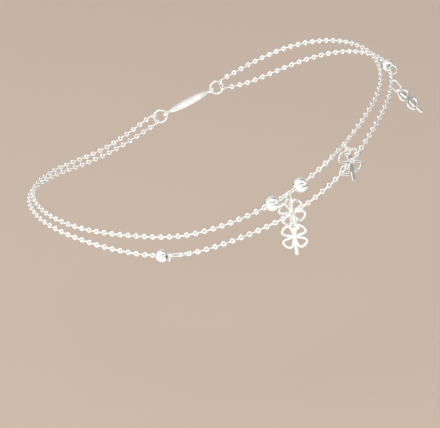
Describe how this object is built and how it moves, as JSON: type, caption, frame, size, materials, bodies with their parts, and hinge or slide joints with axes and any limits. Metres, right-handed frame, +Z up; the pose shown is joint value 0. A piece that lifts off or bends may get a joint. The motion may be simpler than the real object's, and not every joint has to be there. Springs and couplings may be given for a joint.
{
  "type": "anklet",
  "caption": "Double-strand anklet of fine cable chain with polished balls and openwork clover drops, closed by a clasp round an ankle.",
  "frame": {"origin": "middle of the ankle inside both strands, at the mean height of the loop's front and back", "axes": "+Z up the leg, +X to the front of the ankle, -Y to the side that shows"},
  "size_m": [0.0972, 0.0692, 0.0362],
  "materials": {
    "chain_silver": "silver plate, polished",
    "bright_silver": "silver plate, bright polish"
  },
  "bodies": {
    "root": {"upper_chain": "chain_silver", "lower_chain": "chain_silver", "ball_upper_back": "bright_silver", "ball_upper_front": "bright_silver", "ball_lower_back": "bright_silver", "ball_lower_front": "bright_silver", "drop_ring_1": "bright_silver", "drop_ring_2": "bright_silver", "drop_ring_3": "bright_silver", "drop_ring_4": "bright_silver", "clover_1": "bright_silver", "clover_2": "bright_silver", "clover_3": "bright_silver", "clover_4": "bright_silver", "side_ring_back": "bright_silver", "side_ring_front": "bright_silver", "clasp_ring_back": "bright_silver", "clasp_ring_front": "bright_silver", "clasp": "bright_silver"}
  },
  "joints": []
}
